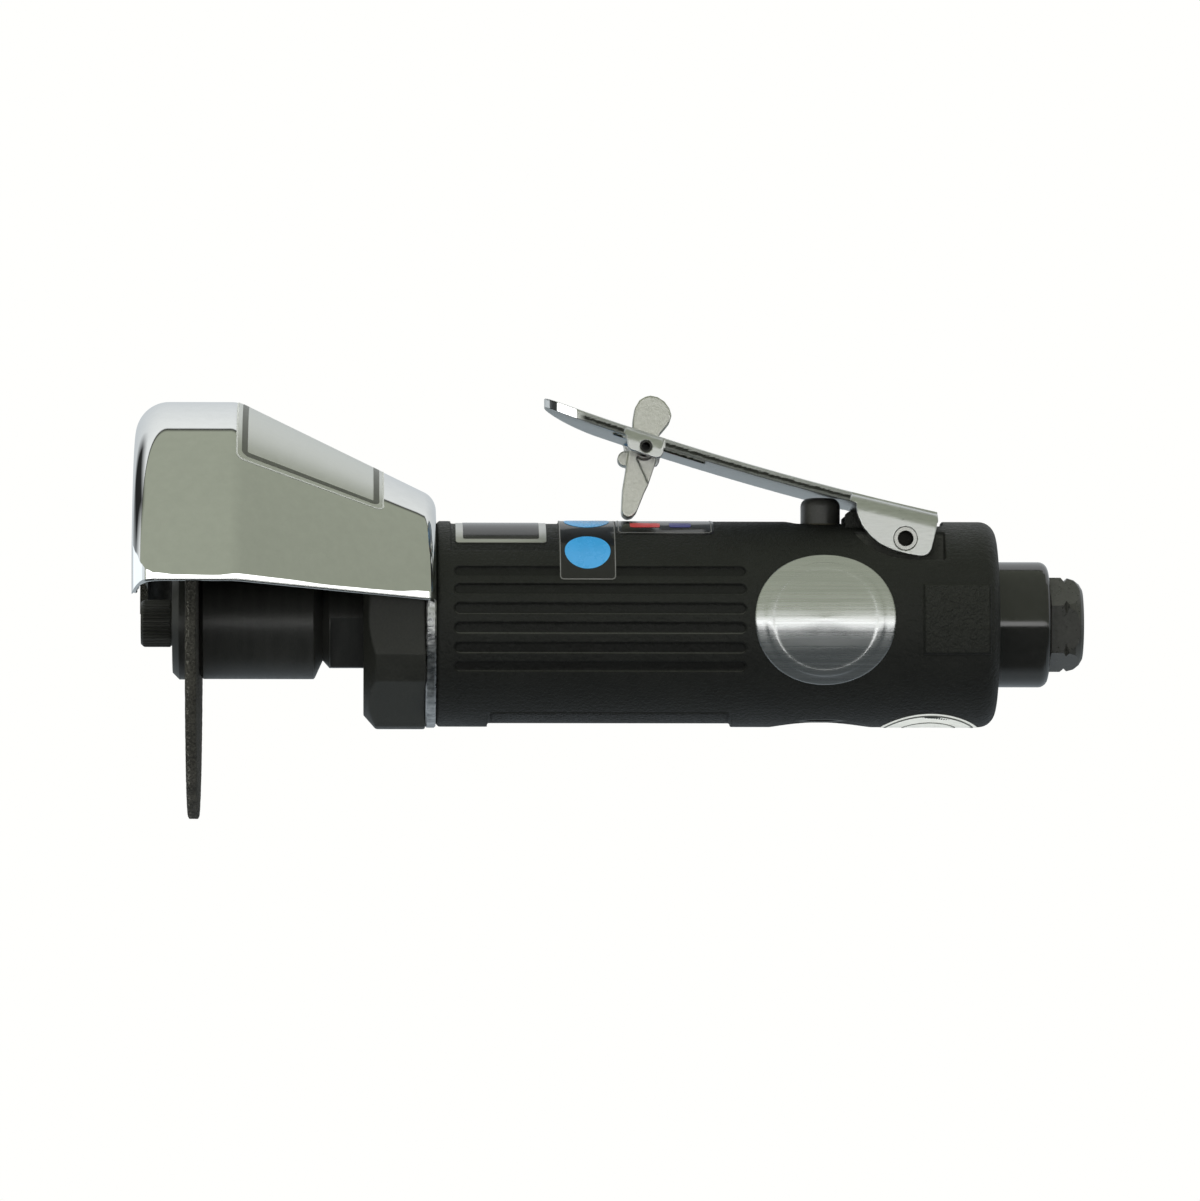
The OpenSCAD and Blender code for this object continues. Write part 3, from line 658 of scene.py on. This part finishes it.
# Guard: polished sheet with lips along its lower edges; this is its profile at a depth below the outside
def guard_skin(depth):
    nose = arc(GUARD_FRONT + GUARD_NOSE_R, GUARD_R - GUARD_NOSE_R, GUARD_NOSE_R - depth, 180, 90, 24)
    shoulder = arc(CONE_FRONT, GUARD_R - CONE_BEND_R, CONE_BEND_R - depth, 90, CONE_NORMAL, 12)
    tail = arc(HOUSING_FRONT - TAIL_BEND_R, HOUSING_R + TAIL_RISE, TAIL_BEND_R - depth, CONE_NORMAL, 0, 16)
    mouth = (GUARD_FRONT + depth, GUARD_R - GUARD_NOSE_R - GUARD_MOUTH)
    foot = (HOUSING_FRONT - depth, HOUSING_R - TAIL_DROP)
    return filled([mouth] + nose + shoulder + tail + [foot], GUARD_GRID)


# Height of the lip, in degrees around the axis, at a position along X
def lip_span(x):
    for (x0, s0), (x1, s1) in zip(LIP_SPANS, LIP_SPANS[1:]):
        if x0 <= x <= x1:
            t = (x - x0) / (x1 - x0)
            return s0 + (s1 - s0) * t * t * (3 - 2 * t)
    return LIP_SPANS[0][1]


# Along both lower edges the sheet turns inward in a narrow lip, which dips at the front corner
def guard_point(x, r, angle):
    span = lip_span(x)
    fold = GUARD_EDGE + span
    near = min(angle, 180 - angle) - GUARD_EDGE
    row = round(near * GUARD_STEPS / (180 - 2 * GUARD_EDGE))
    last = len(LIP_ROWS)
    if row >= last:
        full = GUARD_STEPS / 2 - last
        level = fold + LIP_BEND + (90 - fold - LIP_BEND) * (row - last) / full
        return around(x, r, level if angle < 90 else 180 - level)
    corner = min(1.0, max(0.0, (LIP_DIP_X - x) / LIP_DIP_LENGTH))
    up = LIP_ROWS[row]
    level = math.radians(GUARD_EDGE + span * up - LIP_DIP * corner ** 2 * (1 - up))
    drop = r * (math.sin(math.radians(fold)) - math.sin(level))
    y = r * math.cos(math.radians(fold)) - drop * LIP_TUCK
    return (x, -y if angle < 90 else y, r * math.sin(level))


def guard_rim(angle):
    return [guard_point(x, r, angle) for x, r in guard_skin(GUARD_T / 2)]


skin = guard_skin(0)
sheet = skin + list(reversed(guard_skin(GUARD_T)))
guard = piece("guard_shell", *joined(
    swept(sheet, GUARD_EDGE, 180 - GUARD_EDGE, GUARD_STEPS, guard_point),
    tube(guard_rim(GUARD_EDGE), RIM_R),
    tube(guard_rim(180 - GUARD_EDGE), RIM_R)), MATS["chrome_guard"], "guard", "chrome_guard", sharp=40)
guard.data.materials.append(MATS["guard_inside"])
for number in range(GUARD_STEPS):
    for column in range(len(skin), len(sheet) - 1):
        guard.data.polygons[number * len(sheet) + column].material_index = 1
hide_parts("wheel_guard")

# The guard's ring is ground, with bright and dark patches that are painted reflections
ring_plating_reflections = surface("ring_plating_reflections", (0.10, 0.11, 0.12), (0.95, 0.95, 0.95), (0.16, 0.5), 1.0,
                       grain=700, relief=(900, 0.6, 0.0003), stretch=(0.6, 1, 1))
ring_front = HOUSING_FRONT - RING_W
ring = [(ring_front, RING_BORE_R), (HOUSING_FRONT, RING_BORE_R), (HOUSING_FRONT, RING_R - RING_CHAMFER),
        (HOUSING_FRONT - RING_CHAMFER, RING_R), (ring_front + RING_CHAMFER, RING_R),
        (ring_front, RING_R - RING_CHAMFER)]
piece("guard_ring", *swept(ring, 0, 360, 128), ring_plating_reflections, "guard", "chrome_guard", sharp=40)


# Rounded copies of solids whose edges are cast or tumbled
def rounded_copy(name, node, voxel, passes, mat, body, keep=1.0):
    source = nodes[node]
    copy = bpy.data.objects.new(name + "_source", source.data.copy())
    scene.collection.objects.link(copy)
    weld = copy.modifiers.new("weld", "WELD")
    weld.merge_threshold = 1e-6
    remesh = copy.modifiers.new("remesh", "REMESH")
    remesh.mode = "VOXEL"
    remesh.voxel_size = voxel * MM
    remesh.use_smooth_shade = True
    relax = copy.modifiers.new("relax", "SMOOTH")
    relax.factor = 0.5
    relax.iterations = passes
    if keep < 1.0:
        thin = copy.modifiers.new("thin", "DECIMATE")
        thin.ratio = keep
    view = bpy.context.evaluated_depsgraph_get()
    mesh = bpy.data.meshes.new_from_object(copy.evaluated_get(view))
    bpy.data.objects.remove(copy)
    mesh.name = name
    mesh.materials.clear()
    mesh.materials.append(mat)
    obj = bpy.data.objects.new(name, mesh)
    scene.collection.objects.link(obj)
    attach(obj, body)
    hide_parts(node)


rounded_copy("housing_casting", "housing", 0.2, 1, MATS["cast_housing"], "handle",
             keep=0.3)
rounded_copy("lever_sheet", "throttle_lever", 0.16, 3, MATS["lever_nickel"], "throttle")
rounded_copy("lock_off_casting", "lock_off_lever", 0.13, 8, MATS["cast_silver"], "lock_off")
rounded_copy("nut_body", "clamp_nut", 0.25, 2, MATS["black_oxide"], "handle")


# Labels follow the surface that carries them: reach gives its radius at a position along X
def on_surface(reach, lift, points):
    return [around(x, reach(x) + lift, angle) for x, angle in points]


def solid_film(obj):
    film = obj.modifiers.new("film", "SOLIDIFY")
    film.thickness = FILM_T * MM
    film.offset = -1
    view = bpy.context.evaluated_depsgraph_get()
    obj.data = bpy.data.meshes.new_from_object(obj.evaluated_get(view))
    obj.data.set_sharp_from_angle(angle=math.radians(30))
    obj.modifiers.remove(film)
    return obj


# A filled label with round corners
def panel(name, reach, lift, xs, angles, corner, mat, body, slot=None):
    middle = reach((xs[0] + xs[1]) / 2)
    height = math.radians(angles[1] - angles[0]) * middle
    bend = [math.radians(90 * i / CORNER_STEPS) for i in range(CORNER_STEPS + 1)]
    rounding = [corner * (1 - math.cos(a)) for a in bend]
    inner = [corner + (height - 2 * corner) * i / PANEL_ROWS for i in range(1, PANEL_ROWS)]
    rows = rounding + inner + [height - v for v in reversed(rounding)]
    points = []
    for v in rows:
        depth = min(v, height - v, corner)
        inset = corner - math.sqrt(max(0.0, corner ** 2 - (corner - depth) ** 2))
        for k in range(PANEL_COLUMNS + 1):
            points.append((xs[0] + inset + (xs[1] - xs[0] - 2 * inset) * k / PANEL_COLUMNS,
                           angles[0] + math.degrees(v / middle)))
    width = PANEL_COLUMNS + 1
    faces = [(r * width + k, r * width + k + 1, (r + 1) * width + k + 1, (r + 1) * width + k)
             for r in range(len(rows) - 1) for k in range(PANEL_COLUMNS)]
    return solid_film(piece(name, on_surface(reach, lift, points), faces, mat, body, slot))


def outline(xs, height, corner):
    done = []
    for cx, cy, start in ((xs[1] - corner, height - corner, 0), (xs[0] + corner, height - corner, 90),
                          (xs[0] + corner, corner, 180), (xs[1] - corner, corner, 270)):
        done += arc(cx, cy, corner, start, start + 90, 8)
    return done


# A frame of even width along a label's edge
def border(name, reach, lift, xs, angles, corner, width, mat, body, slot=None):
    middle = reach((xs[0] + xs[1]) / 2)
    height = math.radians(angles[1] - angles[0]) * middle
    inner_xs = (xs[0] + width, xs[1] - width)
    inner = outline(inner_xs, height - 2 * width, max(0.2, corner - width))
    pairs = list(zip(outline(xs, height, corner), [(x, v + width) for x, v in inner]))
    points = []
    for (p, u), (q, w) in zip(pairs, pairs[1:] + pairs[:1]):
        steps = max(1, math.ceil(math.dist(p, q) / BORDER_STEP))
        for i in range(steps):
            points += [between(p, q, i / steps), between(u, w, i / steps)]
    count = len(points) // 2
    faces = []
    for i in range(count):
        j = (i + 1) % count
        faces.append((2 * i, 2 * j, 2 * j + 1, 2 * i + 1))
    turned = [(x, angles[0] + math.degrees(v / middle)) for x, v in points]
    return solid_film(piece(name, on_surface(reach, lift, turned), faces, mat, body, slot))


# A round label or ring: rings are its radii, and height lifts the surface at a radius
def round_label(name, reach, lift, x, angle, rings, mat, body, slot=None, height=None):
    n = LABEL_SIDES
    middle = reach(x)
    verts = []
    for rho in rings:
        up = lift + (height(rho) if height else 0.0)
        for k in range(n):
            a = 2 * math.pi * k / n
            px = x + rho * math.cos(a)
            verts.append(around(px, reach(px) + up, angle + math.degrees(rho * math.sin(a) / middle)))
    faces = turned_quads(len(rings), n)
    if rings[0] == DISC_CORE:
        faces.append(tuple(range(n)))
    return solid_film(piece(name, verts, faces, mat, body, slot))


def handle_reach(x):
    return HOUSING_R


def plate_reach(x):
    return PLATE_SEAT_R


def guard_reach(x):
    for (x0, r0), (x1, r1) in zip(skin, skin[1:]):
        if x0 <= x <= x1 and x1 > x0:
            return r0 + (r1 - r0) * (x - x0) / (x1 - x0)
    return GUARD_R


film_black = surface("film_black", (0.006, 0.006, 0.006), (0.010, 0.010, 0.010), (0.10, 0.18),
                     grain=600, specular=0.6)
film_blue = surface("film_blue", (0.035, 0.26, 0.54), (0.043, 0.29, 0.60), (0.22, 0.34), grain=500)
film_red = surface("film_red", (0.50, 0.03, 0.035), (0.60, 0.045, 0.05), (0.25, 0.35), grain=500)
film_violet = surface("film_violet", (0.03, 0.03, 0.17), (0.04, 0.04, 0.22), (0.25, 0.35), grain=500)
film_grey = surface("film_grey", (0.10, 0.10, 0.095), (0.14, 0.14, 0.135), (0.25, 0.4), grain=700)
film_white = surface("film_white", (0.80, 0.81, 0.80), (0.87, 0.88, 0.87), (0.35, 0.5), grain=500)
film_edge_highlight = surface("film_edge_highlight", (0.36, 0.37, 0.35), (0.42, 0.43, 0.41), (0.35, 0.5), grain=500)
film_frame = surface("film_frame", (0.045, 0.048, 0.04), (0.07, 0.074, 0.06), (0.3, 0.45), grain=900)
film_clear = surface("film_clear", (0.72, 0.73, 0.69), (0.78, 0.79, 0.75), (0.3, 0.4), 1.0, grain=500)
plate_silver = surface("plate_silver", (0.60, 0.60, 0.58), (0.74, 0.74, 0.72), (0.3, 0.42), 1.0,
                       grain=900, stretch=(0.1, 1, 1))

# Guard's label and the data plate
panel("guard_label", guard_reach, 0.05, GUARD_LABEL_X, GUARD_LABEL_TURN, 1.6, film_clear, "guard")
# A painted highlight along the edge of the label's film
border("guard_label_edge", guard_reach, 0.09, GUARD_LABEL_X, GUARD_LABEL_TURN, 1.6, 0.3, film_edge_highlight,
       "guard")
border("guard_label_frame", guard_reach, 0.08, (-163.1, -136.8), (46, 134), 1.4, 1.1, film_frame, "guard")
panel("data_plate", plate_reach, 0.12, (-122, -104.5), (50, 130), 0.6, plate_silver, "handle",
      "badge_aluminium")
panel("data_plate_field", plate_reach, 0.2, (-120.6, -105.9), (54, 126), 0.4, film_black, "handle")

# Sign label with plain discs, top label with plain bars, round label below
panel("sign_label", handle_reach, 0.06, SIGN_X, SIGN_TURN, 0.8, film_black, "handle")
for number, angle in enumerate((41.4, 78, 102, 138.6)):
    round_label("sign_disc_%d" % (number + 1), handle_reach, 0.13, SIGN_DISC_X, angle,
                (DISC_CORE, 2.0, 3.4, 4.4), film_blue, "handle")
border("sign_label_line", handle_reach, 0.1, SIGN_X, SIGN_TURN, 0.8, 0.2, film_grey, "handle")
panel("top_label", handle_reach, 0.06, (-91, -72), (57, 123), 1.0, film_black, "handle")
border("top_label_line", handle_reach, 0.12, (-90.6, -72.4), (58.2, 121.8), 0.9, 0.22, film_grey, "handle")
for side, angles in (("near", (66, 74)), ("far", (106, 114))):
    panel("top_label_red_" + side, handle_reach, 0.13, (-88.2, -82.4), angles, 0.5, film_red, "handle")
    panel("top_label_blue_" + side, handle_reach, 0.13, (-80.6, -76.4), angles, 0.5, film_violet, "handle")
for name, lift, rings, mat in (("base_label", 0.06, (DISC_CORE, 3, 6, 9.4), film_white),
                               ("base_label_ring", 0.12, (8.3, 8.7), film_frame),
                               ("base_label_inner_ring", 0.12, (5.0, 5.25), film_frame)):
    round_label(name, handle_reach, lift, BASE_LABEL_X, BASE_TURN, rings, mat, "handle")


# Badge: brushed disc with a plain raised ring and a turned edge
def badge_height(rho):
    off_ring = abs(rho - BADGE_RING_R) / BADGE_RING_HALF
    ring_rise = BADGE_RING_RISE * math.sqrt(1 - off_ring ** 2) if off_ring < 1 else 0.0
    past_edge = max(0.0, rho - BADGE_EDGE_R) / BADGE_EDGE_W
    return ring_rise - BADGE_EDGE_DROP * past_edge ** 2


ring_radii = [9.9 + 0.1 * i for i in range(17)]
edge_radii = [BADGE_EDGE_R + 0.1 * i for i in range(5)]
badge_rings = [DISC_CORE, 3, 6, 8, 9.5] + ring_radii + [12.2] + edge_radii
badge_face = round_label("badge_face", handle_reach, BADGE_LIFT, BADGE_X, 0, badge_rings,
                         MATS["badge_aluminium"], "handle", "badge_aluminium", badge_height)
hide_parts("badge")


# Wheel screw: knurled head with a hexagon socket; each ring has a place, a radius and a knurl depth
def knurled_screw():
    n = SCREW_SIDES
    profile = ((SCREW_END, SHANK_R, 0), (FLANGE_FRONT, SHANK_R, 0), (FLANGE_FRONT, HEAD_FOOT_R, 0),
               (FLANGE_FRONT - 0.35, HEAD_FOOT_R, 0), (FLANGE_FRONT - 0.5, HEAD_R, KNURL),
               (SCREW_FRONT + 0.75, HEAD_R, KNURL), (SCREW_FRONT + 0.45, 4.45, 0.05),
               (SCREW_FRONT, 4.0, 0))
    rings = [[(x, r - (depth if (k // 2) % 2 else 0)) for k in range(n)] for x, r, depth in profile]
    for x in (SCREW_FRONT, SCREW_FRONT + SOCKET_DEPTH):
        rings.append([(x, SOCKET_R / math.cos(math.radians((360 * k / n) % 60 - 30))) for k in range(n)])
    verts = [around(x, r, 360 * k / n) for loop in rings for k, (x, r) in enumerate(loop)]
    faces = turned_quads(len(rings), n)
    faces.append(tuple(range(n)))
    faces.append(tuple(reversed([(len(rings) - 1) * n + k for k in range(n)])))
    return verts, faces


screw = piece("knurled_screw", *knurled_screw(), MATS["black_oxide"], "spindle", "black_oxide", sharp=25)
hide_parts("wheel_screw")


# Cutting wheel: gritty faces and a worn, uneven rim
def gritty_wheel():
    grit = random.Random(7)
    radii = [WHEEL_BORE_R, 6] + [8 + 1.2 * i for i in range(25)] + [37.6]
    loop = [(WHEEL_REAR, r) for r in radii]
    loop += [(WHEEL_REAR - WHEEL_CHAMFER - 0.34 * i, WHEEL_R) for i in range(6)]
    loop += [(WHEEL_FRONT, r) for r in reversed(radii)]
    verts = []
    for k in range(WHEEL_SIDES):
        for x, r in loop:
            rough = 0.0 if r < CLAMPED_R else 1.0
            inward = rough * (0.16 if r > WORN_R else 0.04) * grit.random()
            face = rough * 0.05 * grit.random() * (1 if x < WHEEL_MIDDLE else -1)
            verts.append(around(x + face, r - inward, 360 * k / WHEEL_SIDES))
    return verts, quads(WHEEL_SIDES, WHEEL_SIDES, len(loop))


wheel = piece("abrasive_wheel", *gritty_wheel(), MATS["abrasive"], "spindle", "abrasive", sharp=45)
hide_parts("cutting_wheel")


# A step of a turn around a circle
def circling(r, step):
    a = 2 * math.pi * step / TURN_STEPS
    return r * math.cos(a), r * math.sin(a)


# Thread inside the air inlet
thread = [(THREAD_X - THREAD_PITCH * i / TURN_STEPS, *circling(THREAD_R, i))
          for i in range(TURN_STEPS * THREAD_TURNS)]
piece("inlet_thread", *tube(thread, THREAD_WIRE_R, 8), MATS["inlet_steel"], "handle", "inlet_steel")

# Valve spring: a coil drawn at one length, though in the tool it shortens as the valve opens
coil = []
coil_steps = TURN_STEPS * SPRING_TURNS
for i in range(coil_steps + 1):
    x, y = circling(SPRING_R, i)
    coil.append((VALVE_X + x, y, SPRING_LOW + (SPRING_HIGH - SPRING_LOW) * i / coil_steps))
spring = piece("valve_spring_coil", *tube(coil, SPRING_WIRE_R), MATS["spring_steel"], "handle",
               "spring_steel")
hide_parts("valve_spring")
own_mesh(spring)

# Floor: white to the camera, a pale sweep under and behind the object and a dark table edge in front of it
floor_mat, tree, shader = new_material("floor")
path = tree.nodes.new("ShaderNodeLightPath")
shade = remap(tree, axes(tree, "Object")["Y"], 0.0, 0.6, start=-0.06, end=0.06)
shade = math_node(tree, "MAXIMUM", shade, path.outputs["Is Camera Ray"])
shade = math_node(tree, "MAXIMUM", shade, path.outputs["Is Diffuse Ray"])
tone = ramp(tree, shade, [(0.2, (0.05, 0.055, 0.06)), (0.5, (0.30, 0.33, 0.37)),
                          (0.7, (0.30, 0.33, 0.37)), (0.9, (0.8, 0.8, 0.79))])
tree.links.new(tone, shader.inputs["Base Color"])
shader.inputs["Roughness"].default_value = 0.9
glow = tree.nodes.new("ShaderNodeEmission")
glow.inputs["Color"].default_value = WHITE
lit = tree.nodes.new("ShaderNodeMixShader")
tree.links.new(times(tree, path.outputs["Is Camera Ray"], 0.85), lit.inputs["Fac"])
tree.links.new(shader.outputs["BSDF"], lit.inputs[1])
tree.links.new(glow.outputs["Emission"], lit.inputs[2])
tree.links.new(lit.outputs["Shader"], tree.nodes["Material Output"].inputs["Surface"])
floor_mesh = bpy.data.meshes.new("floor")
corners = [(-FLOOR_REACH, FLOOR_FRONT, FLOOR_Z), (FLOOR_REACH, FLOOR_FRONT, FLOOR_Z),
           (FLOOR_REACH, FLOOR_REACH, FLOOR_Z), (-FLOOR_REACH, FLOOR_REACH, FLOOR_Z)]
floor_mesh.from_pydata(corners, [], [(0, 1, 2, 3)])
floor_mesh.materials.append(floor_mat)
floor = bpy.data.objects.new("floor", floor_mesh)
scene.collection.objects.link(floor)
